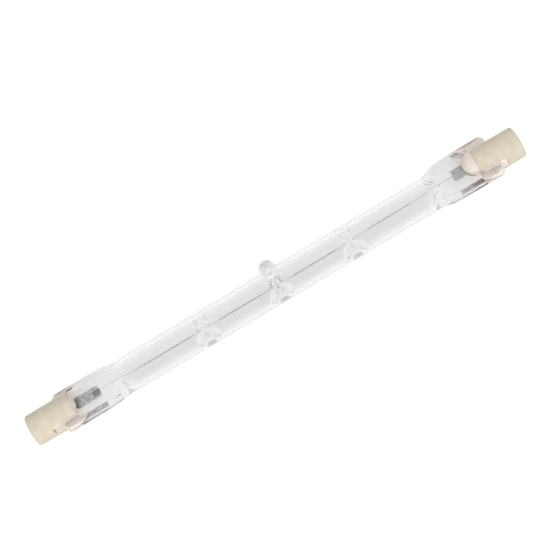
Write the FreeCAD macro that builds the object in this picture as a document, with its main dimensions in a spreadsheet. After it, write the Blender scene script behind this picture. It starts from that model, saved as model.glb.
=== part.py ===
import FreeCAD, Part
import math
import os
import Sketcher
from FreeCAD import Placement, Rotation, Vector

os.makedirs("parts", exist_ok=True)
doc = FreeCAD.newDocument("linear_halogen_bulb")

# Driving sizes in millimetres. The two ends are called left and right.
SIZES = {
    # Whole lamp, over the outer faces of the two ceramic caps
    "lamp_length": 117.6,
    # Drawn quartz tube
    "tube_diameter": 7.8,
    "tube_wall": 0.95,
    # Press seals: a flat web between two ribs that the jaws leave standing
    "press_length": 12.7,
    "web_thickness": 2.0,
    "rib_height": 2.8,
    "rib_width": 1.5,
    "rib_round": 0.5,
    "press_corner": 1.3,
    "left_press_width": 9.8,
    "right_press_width": 11.2,
    "right_press_shift": 0.5,
    # Shoulders, where the round tube flattens into the press
    "shoulder_length": 4.6,
    "cavity_end_gap": 0.3,
    "cavity_end_width": 4.6,
    "cavity_end_height": 0.5,
    "cavity_end_round": 0.22,
    # Exhaust tip, melted off at the middle of the tube
    "tip_reach": 7.8,
    "tip_diameter": 3.7,
    "tip_neck_diameter": 3.3,
    "tip_flare": 0.6,
    # How deep the foot of the tip and of each bridge stands in the tube's wall
    "foot_depth": 0.1,
    "tip_hollow_diameter": 1.5,
    "tip_hollow_reach": 5.6,
    # Dimples that pinch the tube onto the filament
    "support_spacing": 17.6,
    "bridge_neck": 0.8,
    "dimple_mouth": 2.4,
    "dimple_floor": 0.5,
    "dimple_bottom": 1.3,
    # Filament wire and coils
    "wire_diameter": 0.1,
    "coil_diameter": 0.5,
    "middle_skip": 7.4,
    "inner_coil_length": 10.6,
    "left_skip": 6.4,
    "right_skip": 7.5,
    "left_coil_length": 12.0,
    "right_coil_length": 10.7,
    "leg_overlap": 1.6,
    # Sealing foils with a weld tab under each wire
    "foil_length": 8.3,
    "foil_width": 3.4,
    "foil_thickness": 0.04,
    "foil_feather": 0.5,
    "foil_inset": 1.6,
    "weld_tab_length": 1.8,
    "weld_tab_width": 1.3,
    "weld_tab_thickness": 0.03,
    # Outer leads
    "lead_diameter": 0.6,
    "lead_overlap": 1.8,
    "lead_seat": 1.5,
    # Ceramic caps
    "cap_diameter": 7.0,
    "cap_length": 10.1,
    "cap_end_length": 4.2,
    "cap_edge_bevel": 0.3,
    "slot_clearance": 0.2,
    "left_press_gap": 2.4,
    "right_press_gap": 1.5,
    "recess_diameter": 3.6,
    "recess_depth": 1.6,
    # Contacts, sunk a little in seats at the bottom of the recesses
    "contact_head_diameter": 3.1,
    "contact_head_thickness": 0.6,
    "contact_sink": 0.1,
    "contact_shank_diameter": 1.7,
    "contact_clearance": 0.05,
    "contact_bore_depth": 1.6,
    # Cement that squeezes out of the slots over the press
    "left_cement_reach": 0.9,
    "left_cement_radius": 2.8,
    "right_cement_reach": 3.0,
    "right_cement_radius": 3.3,
}

# Values worked out from the driving sizes
PLACES = {
    "tube_radius": "Sizes.tube_diameter / 2",
    "bore_radius": "Sizes.tube_diameter / 2 - Sizes.tube_wall",
    "wire_radius": "Sizes.wire_diameter / 2",
    # The hollow of the tip is cut upwards from inside the bore
    "hollow_start": "bore_radius / 2",
    # The tip and the bridges spread into the wall without coming out of it
    "foot_height": "bore_radius + Sizes.foot_depth",
    "foot_radius": "sqrt((tube_radius - Sizes.foot_depth) ^ 2 - foot_height ^ 2)",
    "half_lamp": "Sizes.lamp_length / 2",
    "slot_floor": "Sizes.lamp_length / 2 - Sizes.cap_end_length",
    "cheek_end": "Sizes.lamp_length / 2 - Sizes.cap_length",
    "left_glass_end": "slot_floor - Sizes.left_press_gap",
    "right_glass_end": "slot_floor - Sizes.right_press_gap",
    "glass_middle": "(right_glass_end - left_glass_end) / 2",
    "left_web": "left_glass_end - Sizes.press_length",
    "right_web": "right_glass_end - Sizes.press_length",
    "left_foil_outer": "left_glass_end - Sizes.foil_inset",
    "right_foil_outer": "right_glass_end - Sizes.foil_inset",
    "left_foil_inner": "left_foil_outer - Sizes.foil_length",
    "right_foil_inner": "right_foil_outer - Sizes.foil_length",
    # Depths of tab, foil and lead beside the wire, which runs on the axis
    "tab_depth": "Sizes.wire_diameter / 2 + Sizes.weld_tab_thickness / 2",
    "foil_depth": "tab_depth + Sizes.weld_tab_thickness / 2 + Sizes.foil_thickness / 2",
    "lead_height": "Sizes.lead_diameter / 2 - foil_depth + Sizes.foil_thickness / 2",
    # The contact's bore is as wide as a lead beside the axis needs
    "contact_bore_radius": "abs(lead_height) + Sizes.lead_diameter / 2",
    "recess_floor": "half_lamp - Sizes.recess_depth",
    "contact_face": "recess_floor - Sizes.contact_sink",
    "contact_seat": "contact_face - Sizes.contact_head_thickness",
    "slot_half": "Sizes.web_thickness / 2 + Sizes.slot_clearance",
    # Rest pose: the lamp lies on its tube and on the lower edge of the widest rib
    "rib_drop": "Sizes.rib_height / 2 - Sizes.rib_round",
    "left_reach": "Sizes.left_press_width / 2 - Sizes.rib_round",
    "right_far_reach": "Sizes.right_press_width / 2 + Sizes.right_press_shift - Sizes.rib_round",
    "right_near_reach": "right_far_reach - 2 * Sizes.right_press_shift",
    "far_reach": "max(left_reach; right_far_reach)",
    "near_reach": "max(left_reach; right_near_reach)",
    "rest_lift": "min(1; (tube_radius - Sizes.rib_round) / sqrt(far_reach ^ 2 + rib_drop ^ 2))",
    "rest_roll": "asin(rest_lift) - atan(rib_drop / far_reach)",
    "rest_shift": "-(far_reach - near_reach) / 2 * cos(rest_roll)",
    # Where each stretch of the filament ends, from its middle outwards
    "filament_inner": "Sizes.middle_skip / 2",
    "filament_inner_end": "filament_inner + Sizes.inner_coil_length",
    "left_coil_start": "filament_inner_end + Sizes.left_skip",
    "right_coil_start": "filament_inner_end + Sizes.right_skip",
    "left_coil_end": "left_coil_start + Sizes.left_coil_length",
    "right_coil_end": "right_coil_start + Sizes.right_coil_length",
}


def fill_sheet(name, cells):
    """Write one value in each row, under its own alias."""
    sheet = doc.addObject("Spreadsheet::Sheet", name)
    for row, (alias, value) in enumerate(cells.items(), start=1):
        text = value if isinstance(value, str) else repr(value)
        sheet.set(f"A{row}", alias)
        sheet.set(f"B{row}", "=" + text if isinstance(value, str) else text)
        sheet.setAlias(f"B{row}", alias)
        doc.recompute()
    return sheet


fill_sheet("Sizes", SIZES)
places = fill_sheet("Places", PLACES)


def bind(expression):
    """Give each name in a formula the sheet that holds it."""
    words = []
    word = ""
    for letter in expression + " ":
        if letter.isalnum() or letter == "_":
            word += letter
            continue
        if word in SIZES:
            word = "Sizes." + word
        elif word in PLACES:
            word = "Places." + word
        words.append(word + letter)
        word = ""
    return "".join(words).strip()


def value_of(expression):
    """The number that a formula of named sizes comes to."""
    found = places.evalExpression(bind(expression))
    return float(getattr(found, "Value", found))


def origin_item(body, role):
    """One of the planes or axes of a body's own origin."""
    return next(item for item in body.Origin.OriginFeatures if item.Role == role)


def lamp_body(name):
    """A body in the lamp's own axes, rolled and set down as the lamp lies."""
    body = doc.addObject("PartDesign::Body", name)
    body.Placement = Placement(Vector(), Rotation(Vector(-1, 0, 0), 1))
    body.setExpression("Placement.Rotation.Angle", "Places.rest_roll")
    body.setExpression("Placement.Base.y", "Places.rest_shift")
    body.setExpression("Placement.Base.z", "Places.tube_radius")
    return body


def new_sketch(body, name, plane, offsets=None):
    """A sketch on one of the body's origin planes, moved by named sizes."""
    sketch = body.newObject("Sketcher::SketchObject", name)
    sketch.AttachmentSupport = [(origin_item(body, plane), "")]
    sketch.MapMode = "FlatFace"
    for axis, expression in (offsets or {}).items():
        sketch.setExpression(f"AttachmentOffset.Base.{axis}", bind(expression))
    return sketch


def fix(sketch, kind, expression, *where):
    """One driving constraint whose value is a formula of named sizes."""
    index = sketch.addConstraint(Sketcher.Constraint(kind, *where, value_of(expression)))
    sketch.setExpression(f"Constraints[{index}]", bind(expression))


def outline(sketch, corners):
    """Close an outline through corners (x, y), or (x, y, radius) where an arc leads on.

    A positive radius turns the arc to the left of the way round, a negative one to the right.
    """
    flat = [Vector(value_of(corner[0]), value_of(corner[1]), 0) for corner in corners]
    ends = []
    for index, corner in enumerate(corners):
        start = flat[index]
        end = flat[(index + 1) % len(flat)]
        if len(corner) == 2:
            edge = sketch.addGeometry(Part.LineSegment(start, end))
            ends.append(((edge, 1), (edge, 2)))
            continue
        radius = value_of(corner[2])
        chord = end - start
        sagitta = math.sqrt(max(radius ** 2 - (chord.Length / 2) ** 2, 0))
        side = Vector(-chord.y, chord.x, 0).normalize() * math.copysign(sagitta, radius)
        centre = (start + end) / 2 + side
        first, last = (start, end) if radius > 0 else (end, start)
        circle = Part.Circle(centre, Vector(0, 0, 1), abs(radius))
        angles = [math.atan2(point.y - centre.y, point.x - centre.x) for point in (first, last)]
        edge = sketch.addGeometry(Part.ArcOfCircle(circle, angles[0], angles[1]))
        ends.append(((edge, 1), (edge, 2)) if radius > 0 else ((edge, 2), (edge, 1)))
        fix(sketch, "Radius", f"abs({corner[2]})", edge)
    for index, corner in enumerate(corners):
        before = ends[index - 1][1]
        here = ends[index][0]
        sketch.addConstraint(Sketcher.Constraint("Coincident", *before, *here))
        fix(sketch, "DistanceX", corner[0], -1, 1, *here)
        fix(sketch, "DistanceY", corner[1], -1, 1, *here)


def round_outline(sketch, radius):
    """A full circle about the sketch's origin."""
    edge = sketch.addGeometry(Part.Circle(Vector(), Vector(0, 0, 1), value_of(radius)))
    sketch.addConstraint(Sketcher.Constraint("Coincident", edge, 3, -1, 1))
    fix(sketch, "Radius", radius, edge)


def feature(body, kind, name, sketch, **settings):
    """A feature on a sketch, with its numbers bound to named sizes."""
    made = body.newObject("PartDesign::" + kind, name)
    made.Profile = sketch
    sketch.Visibility = False
    for key, setting in settings.items():
        if isinstance(setting, str) and key not in ("Type", "SideType"):
            made.setExpression(key, bind(setting))
        else:
            setattr(made, key, setting)
    doc.recompute()
    return made


def turn(body, kind, name, sketch, axis):
    """A full turn of a sketch about its own horizontal or vertical axis."""
    made = body.newObject("PartDesign::" + kind, name)
    made.Profile = sketch
    made.ReferenceAxis = (sketch, [axis])
    made.Angle = 360
    sketch.Visibility = False
    doc.recompute()
    return made


def box_outline(half_width, half_height, corner, shift="0"):
    """A rectangle with rounded corners, its eight points from the right side's lower end."""
    right = f"{shift} + ({half_width})"
    left = f"{shift} - ({half_width})"
    top = f"({half_height})"
    in_right = f"{right} - ({corner})"
    in_left = f"{left} + ({corner})"
    rise = f"({half_height}) - ({corner})"
    return [
        (right, f"-({rise})"),
        (right, rise, corner),
        (in_right, top),
        (in_left, top, corner),
        (left, rise),
        (left, f"-({rise})", corner),
        (in_left, f"-{top}"),
        (in_right, f"-{top}", corner),
    ]


def circle_in_arcs(radius, low, high):
    """The same eight points on a circle, at two angles from the web's plane."""
    points = []
    for angle in (-low, low, high, 180 - high, 180 - low, 180 + low, 180 + high, 360 - high):
        points.append((f"({radius}) * cos({angle})", f"({radius}) * sin({angle})", radius))
    return points


# The box's upright sides open from the circle's arcs below one angle, its corners from the
# arcs up to the other, and its top and bottom from the rest
SIDE_ANGLE = 12
CORNER_ANGLE = 66


def flattening(body, kind, name, sign, start, finish, round_radius, flat):
    """A loft from a circle about the axis to a flat box with rounded corners."""
    circle = new_sketch(body, f"{name}_circle", "YZ_Plane", {"z": f"{sign} * ({start})"})
    outline(circle, circle_in_arcs(round_radius, SIDE_ANGLE, CORNER_ANGLE))
    box = new_sketch(body, f"{name}_box", "YZ_Plane", {"z": f"{sign} * ({finish})"})
    outline(box, box_outline(*flat))
    made = body.newObject("PartDesign::" + kind, name)
    made.Profile = circle
    made.Sections = [box]
    made.Ruled = True
    doc.recompute()
    return made


ENDS = {"left": -1, "right": 1}
SHIFTS = {"left": "0", "right": "right_press_shift"}


# Quartz envelope: one drawn tube, flattened at both ends, tipped off and dimpled
glass = lamp_body("glass_blank")


def press_box(end, height="rib_height / 2"):
    """Half width, half height, corner and shift of one end's press."""
    return (f"{end}_press_width / 2", height, "rib_round", SHIFTS[end])


def press(end):
    """The flat press seal, still without its web."""
    sign = ENDS[end]
    sketch = new_sketch(glass, f"{end}_press_section", "YZ_Plane", {"z": f"{sign} * {end}_web"})
    outline(sketch, box_outline(*press_box(end)))
    return feature(glass, "Pad", f"{end}_press", sketch, Length="press_length", Reversed=sign < 0)


tube_sketch = new_sketch(glass, "tube_section", "YZ_Plane", {"z": "-(left_web - shoulder_length)"})
round_outline(tube_sketch, "tube_radius")
feature(glass, "Pad", "tube", tube_sketch,
        Length="left_web + right_web - 2 * shoulder_length")
for end, sign in ENDS.items():
    flattening(glass, "AdditiveLoft", f"{end}_shoulder", sign, f"{end}_web - shoulder_length",
               f"{end}_web", "tube_radius", press_box(end))
    press(end)

# The jaws' raised pads leave the web between the ribs, on both faces
web_sketch = new_sketch(glass, "web_outline", "XY_Plane", {"z": "web_thickness / 2"})
for end, sign in ENDS.items():
    inner_rib = f"{end}_press_width / 2 - rib_width"
    shift = SHIFTS[end]
    corners = [
        (f"{sign} * {end}_web", f"{shift} - ({inner_rib})"),
        (f"{sign} * ({end}_glass_end + rib_width)", f"{shift} - ({inner_rib})"),
        (f"{sign} * ({end}_glass_end + rib_width)", f"{shift} + ({inner_rib})"),
        (f"{sign} * {end}_web", f"{shift} + ({inner_rib})"),
    ]
    outline(web_sketch, corners)
upper_web = feature(glass, "Pocket", "upper_web", web_sketch, Length="rib_height", Reversed=True)
lower_web = glass.newObject("PartDesign::Mirrored", "lower_web")
lower_web.Originals = [upper_web]
lower_web.MirrorPlane = (origin_item(glass, "XY_Plane"), [""])
glass.Tip = lower_web
doc.recompute()

# The ribs' ends are rounded in plan
corner_sketch = new_sketch(glass, "press_corners", "XY_Plane", {"z": "-rib_height"})
for end, sign in ENDS.items():
    for side in (-1, 1):
        edge = f"{SHIFTS[end]} + {side} * {end}_press_width / 2"
        glass_end = f"{sign} * {end}_glass_end"
        corners = [
            (f"{sign} * ({end}_glass_end - press_corner)", edge,
             f"{-sign * side} * -1 * press_corner"),
            (glass_end, f"{edge} - {side} * press_corner"),
            (f"{glass_end} + {sign} * rib_width", f"{edge} - {side} * press_corner"),
            (f"{glass_end} + {sign} * rib_width", f"{edge} + {side} * rib_width"),
            (f"{sign} * ({end}_glass_end - press_corner)", f"{edge} + {side} * rib_width"),
        ]
        outline(corner_sketch, corners)
feature(glass, "Pocket", "press_end_rounding", corner_sketch, Length="2 * rib_height", Reversed=True)

# The exhaust tip stands on the middle of the glass, along the web's normal
tip_sketch = new_sketch(glass, "tip_profile", "XZ_Plane", {"x": "glass_middle"})
outline(tip_sketch, [
    ("0", "foot_height"),
    ("foot_radius", "foot_height"),
    ("tip_neck_diameter / 2", "tube_radius + tip_flare"),
    ("tip_diameter / 2", "tip_reach - tip_diameter / 2", "tip_diameter / 2"),
    ("0", "tip_reach"),
])
turn(glass, "Revolution", "exhaust_tip", tip_sketch, "V_Axis")

# The cavity follows the outside: a round bore with a flattened end at each press
bore_sketch = new_sketch(glass, "bore_section", "YZ_Plane", {"z": "right_web - shoulder_length"})
round_outline(bore_sketch, "bore_radius")
feature(glass, "Pocket", "bore", bore_sketch,
        Length="left_web + right_web - 2 * shoulder_length")
for end, sign in ENDS.items():
    flattening(glass, "SubtractiveLoft", f"{end}_cavity_end", sign, f"{end}_web - shoulder_length",
               f"{end}_web - cavity_end_gap", "bore_radius",
               ("cavity_end_width / 2", "cavity_end_height / 2", "cavity_end_round",
                SHIFTS[end]))
hollow_sketch = new_sketch(glass, "tip_hollow_profile", "XZ_Plane", {"x": "glass_middle"})
outline(hollow_sketch, [
    ("0", "hollow_start"),
    ("tip_hollow_diameter / 2", "hollow_start"),
    ("tip_hollow_diameter / 2", "tube_radius"),
    ("0", "tip_hollow_reach"),
])
turn(glass, "Groove", "tip_hollow", hollow_sketch, "V_Axis")

# Each support is a pair of dimples across the web's width, met on the wire in a waisted bridge
first_support = {"x": "glass_middle - support_spacing"}
bridge_sketch = new_sketch(glass, "bridge_profile", "XY_Plane", first_support)
outline(bridge_sketch, [
    ("0", "-foot_height"),
    ("foot_radius", "-foot_height"),
    ("bridge_neck / 2", "-bridge_neck / 2"),
    ("bridge_neck / 2", "bridge_neck / 2"),
    ("foot_radius", "foot_height"),
    ("0", "foot_height"),
])
bridge = turn(glass, "Revolution", "bridge", bridge_sketch, "V_Axis")
dimples = []
for name, side in (("far_dimple", 1), ("near_dimple", -1)):
    dimple_sketch = new_sketch(glass, f"{name}_profile", "XY_Plane", first_support)
    outline(dimple_sketch, [
        ("0", f"{side} * dimple_bottom"),
        ("dimple_floor / 2", f"{side} * dimple_bottom"),
        ("dimple_mouth / 2", f"{side} * tube_radius"),
        ("dimple_mouth / 2", f"{side} * (tube_radius + tube_wall)"),
        ("0", f"{side} * (tube_radius + tube_wall)"),
    ])
    dimples.append(turn(glass, "Groove", name, dimple_sketch, "V_Axis"))
supports = glass.newObject("PartDesign::LinearPattern", "supports")
supports.Originals = [bridge, *dimples]
supports.Direction = (origin_item(glass, "X_Axis"), [""])
supports.setExpression("Length", bind("2 * support_spacing"))
supports.Occurrences = 3
glass.Tip = supports
doc.recompute()


def kept(piece, label):
    """Name a finished piece for its file."""
    piece.Label = label
    return piece


def length_box(body, name, start, finish, across, up, middle=("0", "0")):
    """A bar along the lamp from one place to another, across by up in section."""
    sketch = new_sketch(body, f"{name}_section", "YZ_Plane", {"z": start})
    near = f"{middle[0]} - ({across}) / 2"
    far = f"{middle[0]} + ({across}) / 2"
    low = f"{middle[1]} - ({up}) / 2"
    high = f"{middle[1]} + ({up}) / 2"
    outline(sketch, [(near, low), (far, low), (far, high), (near, high)])
    length = f"({finish}) - ({start})"
    return feature(body, "Pad", name, sketch, Length=f"abs({length})",
                   Reversed=value_of(length) < 0)


# Filament: straight legs and skips of wire, and the outer form of four finely wound coils
filament = kept(lamp_body("filament_body"), "filament")
runs = [
    ("-left_coil_end", "-left_coil_start"),
    ("-filament_inner_end", "-filament_inner"),
    ("filament_inner", "filament_inner_end"),
    ("right_coil_start", "right_coil_end"),
]
wire_sketch = new_sketch(filament, "filament_profile", "XZ_Plane", {"x": "glass_middle"})
left_leg = "-(left_foil_inner + leg_overlap + glass_middle)"
right_leg = "right_foil_inner + leg_overlap - glass_middle"
profile = [(left_leg, "0"), (left_leg, "wire_radius")]
for start, finish in runs:
    profile += [(start, "wire_radius"), (start, "coil_diameter / 2"),
                (finish, "coil_diameter / 2"), (finish, "wire_radius")]
profile += [(right_leg, "wire_radius"), (right_leg, "0")]
outline(wire_sketch, profile)
turn(filament, "Revolution", "wire_and_coils", wire_sketch, "H_Axis")

# Foils with feathered edges, weld tabs and leads. Seen from the tip's side, the left foil lies
# behind its wire and the right foil in front of it.
WIRE_SIDE = {"left": 1, "right": -1}


def sealing_foil(end):
    """A molybdenum foil, thick in the middle and feathered to nothing along both edges."""
    sign = ENDS[end]
    body = kept(lamp_body(f"{end}_foil_body"), f"{end}_foil")
    sketch = new_sketch(body, f"{end}_foil_section", "YZ_Plane", {"z": f"{sign} * {end}_foil_inner"})
    depth = f"{-WIRE_SIDE[end]} * foil_depth"
    shift = SHIFTS[end]
    flat = "foil_width / 2 - foil_feather"
    outline(sketch, [
        (f"{shift} - foil_width / 2", depth),
        (f"{shift} - ({flat})", f"{depth} - foil_thickness / 2"),
        (f"{shift} + ({flat})", f"{depth} - foil_thickness / 2"),
        (f"{shift} + foil_width / 2", depth),
        (f"{shift} + ({flat})", f"{depth} + foil_thickness / 2"),
        (f"{shift} - ({flat})", f"{depth} + foil_thickness / 2"),
    ])
    feature(body, "Pad", f"{end}_foil_strip", sketch, Length="foil_length", Reversed=sign < 0)
    return body


def weld_tab(end):
    """The small tab between the foil and the end of the filament wire."""
    sign = ENDS[end]
    body = kept(lamp_body(f"{end}_tab_body"), f"{end}_weld_tab")
    length_box(body, f"{end}_tab_strip", f"{sign} * {end}_foil_inner",
               f"{sign} * ({end}_foil_inner + weld_tab_length)", "weld_tab_width",
               "weld_tab_thickness", ("0", f"{-WIRE_SIDE[end]} * tab_depth"))
    return body


def outer_lead(end):
    """The round wire from the foil's outer end into the bore of the contact."""
    sign = ENDS[end]
    body = kept(lamp_body(f"{end}_lead_body"), f"{end}_outer_lead")
    inner = f"{end}_foil_outer - lead_overlap"
    sketch = new_sketch(body, f"{end}_lead_section", "YZ_Plane", {"z": f"{sign} * ({inner})"})
    edge = sketch.addGeometry(Part.Circle(Vector(), Vector(0, 0, 1), value_of("lead_diameter / 2")))
    fix(sketch, "Radius", "lead_diameter / 2", edge)
    fix(sketch, "DistanceX", "0", -1, 1, edge, 3)
    fix(sketch, "DistanceY", f"{WIRE_SIDE[end]} * lead_height", -1, 1, edge, 3)
    feature(body, "Pad", f"{end}_lead_wire", sketch, Reversed=sign < 0,
            Length=f"slot_floor + lead_seat - ({inner})")
    return body


def contact(end):
    """A turned rivet contact: its head fills the recess's floor, its shank takes the lead."""
    sign = ENDS[end]
    body = kept(lamp_body(f"{end}_contact_body"), f"{end}_contact")
    sketch = new_sketch(body, f"{end}_contact_profile", "XZ_Plane")
    head = "contact_head_diameter / 2"
    shank = "contact_shank_diameter / 2"
    bore_floor = "slot_floor + contact_bore_depth"
    points = [("contact_face", "0"), ("contact_face", head), ("contact_seat", head),
              ("contact_seat", shank), ("slot_floor", shank),
              ("slot_floor", "contact_bore_radius"), (bore_floor, "contact_bore_radius"),
              (bore_floor, "0")]
    outline(sketch, [(f"{sign} * ({along})", out) for along, out in points])
    turn(body, "Revolution", f"{end}_contact_turning", sketch, "H_Axis")
    return body


def ceramic_cap(end):
    """A pressed ceramic cap: round outside, a recess for the contact and a slot for the press."""
    sign = ENDS[end]
    body = kept(lamp_body(f"{end}_cap_body"), f"{end}_ceramic_cap")
    sketch = new_sketch(body, f"{end}_cap_profile", "XZ_Plane")
    outside = "cap_diameter / 2"
    recess = "recess_diameter / 2"
    seat = "contact_head_diameter / 2 + contact_clearance"
    hole = "contact_shank_diameter / 2 + contact_clearance"
    outline(sketch, [
        (f"{sign} * cheek_end", "0"),
        (f"{sign} * cheek_end", outside),
        (f"{sign} * (half_lamp - cap_edge_bevel)", outside),
        (f"{sign} * half_lamp", f"{outside} - cap_edge_bevel"),
        (f"{sign} * half_lamp", recess),
        (f"{sign} * recess_floor", recess),
        (f"{sign} * recess_floor", seat),
        (f"{sign} * contact_seat", seat),
        (f"{sign} * contact_seat", hole),
        (f"{sign} * slot_floor", hole),
        (f"{sign} * slot_floor", "0"),
    ])
    turn(body, "Revolution", f"{end}_cap_turning", sketch, "H_Axis")
    slot = new_sketch(body, f"{end}_slot_outline", "XZ_Plane")
    outline(slot, [
        (f"{sign} * (cheek_end - slot_clearance)", "-slot_half"),
        (f"{sign} * slot_floor", "-slot_half"),
        (f"{sign} * slot_floor", "slot_half"),
        (f"{sign} * (cheek_end - slot_clearance)", "slot_half"),
    ])
    feature(body, "Pocket", f"{end}_slot", slot, Length="2 * cap_diameter", Midplane=True)
    return body


def cement_body(end):
    """Cement as it lies before the glass and the cap take their space out of it."""
    sign = ENDS[end]
    body = lamp_body(f"{end}_cement_body")
    shift = SHIFTS[end]
    length_box(body, f"{end}_slot_fill", f"{sign} * slot_floor", f"{sign} * cheek_end",
               "2 * sqrt((cap_diameter / 2) ^ 2 - slot_half ^ 2)", "2 * slot_half")
    length_box(body, f"{end}_side_fill", f"{sign} * {end}_glass_end", f"{sign} * cheek_end",
               f"{end}_press_width - 2 * rib_width", "rib_height", (shift, "0"))
    # The bead in front of the cap is a cap of a sphere, whose rim is on the cheeks' ends
    reach = f"{end}_cement_reach"
    rim = f"{end}_cement_radius"
    bead = new_sketch(body, f"{end}_bead_profile", "XY_Plane", {"y": shift})
    outline(bead, [
        (f"{sign} * cheek_end", "0"),
        (f"{sign} * cheek_end", rim, f"{sign} * ({reach} ^ 2 + {rim} ^ 2) / (2 * {reach})"),
        (f"{sign} * (cheek_end - {reach})", "0"),
    ])
    turn(body, "Revolution", f"{end}_bead", bead, "H_Axis")
    return body


def without(label, base, tools):
    """A piece less the pieces that it closes round, one after another."""
    for count, tool in enumerate(tools, start=1):
        made = doc.addObject("Part::Cut", f"{label}_cut_{count}")
        made.Base = base
        made.Tool = tool
        base = made
    doc.recompute()
    return kept(base, label)


foils = {end: sealing_foil(end) for end in ENDS}
tabs = {end: weld_tab(end) for end in ENDS}
leads = {end: outer_lead(end) for end in ENDS}
contacts = {end: contact(end) for end in ENDS}
caps = {end: ceramic_cap(end) for end in ENDS}
doc.recompute()
sealed_in = [filament, *foils.values(), *tabs.values(), *leads.values()]
envelope = without("quartz_envelope", glass, sealed_in)
cements = {end: without(f"{end}_cement", cement_body(end),
                        [caps[end], glass, leads[end]]) for end in ENDS}

pieces = [envelope, filament, *foils.values(), *tabs.values(), *leads.values(),
          *contacts.values(), *caps.values(), *cements.values()]
doc.recompute()
CUTTING_KINDS = ("Pocket", "Groove", "SubtractiveLoft")
LEAST_CUT = 0.01
for item in doc.Objects:
    if {"Invalid", "Error"} & set(item.State):
        raise RuntimeError(f"{item.Name} did not build")
    if item.TypeId.endswith(CUTTING_KINDS):
        if item.BaseFeature.Shape.Volume - item.Shape.Volume < LEAST_CUT:
            raise RuntimeError(f"{item.Name} cut nothing away")
for piece in pieces:
    if piece.Shape.isNull() or not piece.Shape.isValid() or len(piece.Shape.Solids) != 1:
        raise RuntimeError(f"{piece.Label} is not one valid solid")
for piece in pieces:
    piece.Shape.exportStep(f"parts/{piece.Label}.step")
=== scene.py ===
import math

import bpy
import numpy as np
from mathutils import Matrix, Vector


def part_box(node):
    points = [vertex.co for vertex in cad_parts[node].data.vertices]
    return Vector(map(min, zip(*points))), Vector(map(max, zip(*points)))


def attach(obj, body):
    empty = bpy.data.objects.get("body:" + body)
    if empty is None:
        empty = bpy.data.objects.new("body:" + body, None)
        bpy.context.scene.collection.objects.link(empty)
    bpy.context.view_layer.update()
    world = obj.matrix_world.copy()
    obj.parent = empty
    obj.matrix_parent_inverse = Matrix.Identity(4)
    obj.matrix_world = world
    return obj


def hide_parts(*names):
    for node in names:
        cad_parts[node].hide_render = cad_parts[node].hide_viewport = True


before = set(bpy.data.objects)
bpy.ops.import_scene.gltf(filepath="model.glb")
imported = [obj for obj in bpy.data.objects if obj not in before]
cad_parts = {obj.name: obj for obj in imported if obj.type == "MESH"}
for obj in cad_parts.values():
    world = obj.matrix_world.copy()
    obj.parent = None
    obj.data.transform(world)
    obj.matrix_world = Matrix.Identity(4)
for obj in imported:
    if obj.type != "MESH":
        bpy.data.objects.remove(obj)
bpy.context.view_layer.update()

# Filament: one tungsten wire, wound on a mandrel into four close coils with straight legs
# between them, which the dimples of the tube hold on its axis. Each end leg is welded to a
# small tab.
mm = 0.001
coil_radius = 0.125 * mm
coil_wire = 0.021 * mm
leg_wire = 0.042 * mm
wire_sides = 5
turn_pitch = 0.115 * mm
steps_per_turn = 12
first_turn = 0.25
inner_coils = (3.7 * mm, 14.3 * mm)
left_coil = (20.7 * mm, 32.7 * mm)
right_coil = (21.8 * mm, 32.5 * mm)
coil_tail = 0.3 * mm

# The coils have sagged and their turns bunch. A pace is radians to the metre along the coil
coil_sag = 0.03 * mm
sag_pace = 4.1 / mm
uneven_share = 0.2
uneven_paces = (7 / mm, 11.3 / mm)
bunch = 0.1 * mm
bunch_length = 0.95 * mm

# The straight legs bow, each another way, and the two end legs least
leg_step = 0.35 * mm
kink = 0.17 * mm
end_kink = 0.034 * mm
kink_waves = 1.6
kink_turn = 2.3

# The lamp's own axes are x along the tube, y across the press seals and z up the exhaust
# tip. The broad face of a weld tab shows how far the lamp has rolled where it lies
wire_low, wire_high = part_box("filament")
glass_low, glass_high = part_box("quartz_envelope")
glass_middle = (glass_low.x + glass_high.x) / 2
tab_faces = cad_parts["left_weld_tab"].data.polygons
tab_normal = max(tab_faces, key=lambda face: face.area).normal
tab_up = tab_normal if tab_normal.z > 0 else -tab_normal
roll = math.atan2(tab_up.y, tab_up.z)
axis_point = Vector((0, (wire_low.y + wire_high.y) / 2, (wire_low.z + wire_high.z) / 2))
lamp_axes = Matrix.Translation(axis_point) @ Matrix.Rotation(-roll, 4, "X")
back_to_lamp = lamp_axes.inverted()

# The press of the right end lies a little to one side, and the wire leans to its foil
lean_places = [18.5 * mm, 21.8 * mm, 32.5 * mm, 35 * mm, wire_high.x]
lean_sides = [0, 0.45 * mm, 0.6 * mm, 0.8 * mm, 0.5 * mm]


def put_together(name, points, faces):
    """A mesh piece from points in the lamp's own axes, laid where the lamp lies."""
    mesh = bpy.data.meshes.new(name)
    mesh.from_pydata([tuple(map(float, point)) for point in points], [], faces)
    mesh.transform(lamp_axes)
    mesh.polygons.foreach_set("use_smooth", [True] * len(mesh.polygons))
    mesh.update()
    piece = bpy.data.objects.new(name, mesh)
    bpy.context.scene.collection.objects.link(piece)
    return piece


def strip_faces(rows, columns, closed=True):
    """Quads over a grid of rows, each row closed on itself or open."""
    faces = []
    for row in range(rows - 1):
        here = row * columns
        ahead = here + columns
        for column in range(columns if closed else columns - 1):
            after = (column + 1) % columns
            faces.append((here + column, here + after, ahead + after, ahead + column))
    return faces


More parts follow.
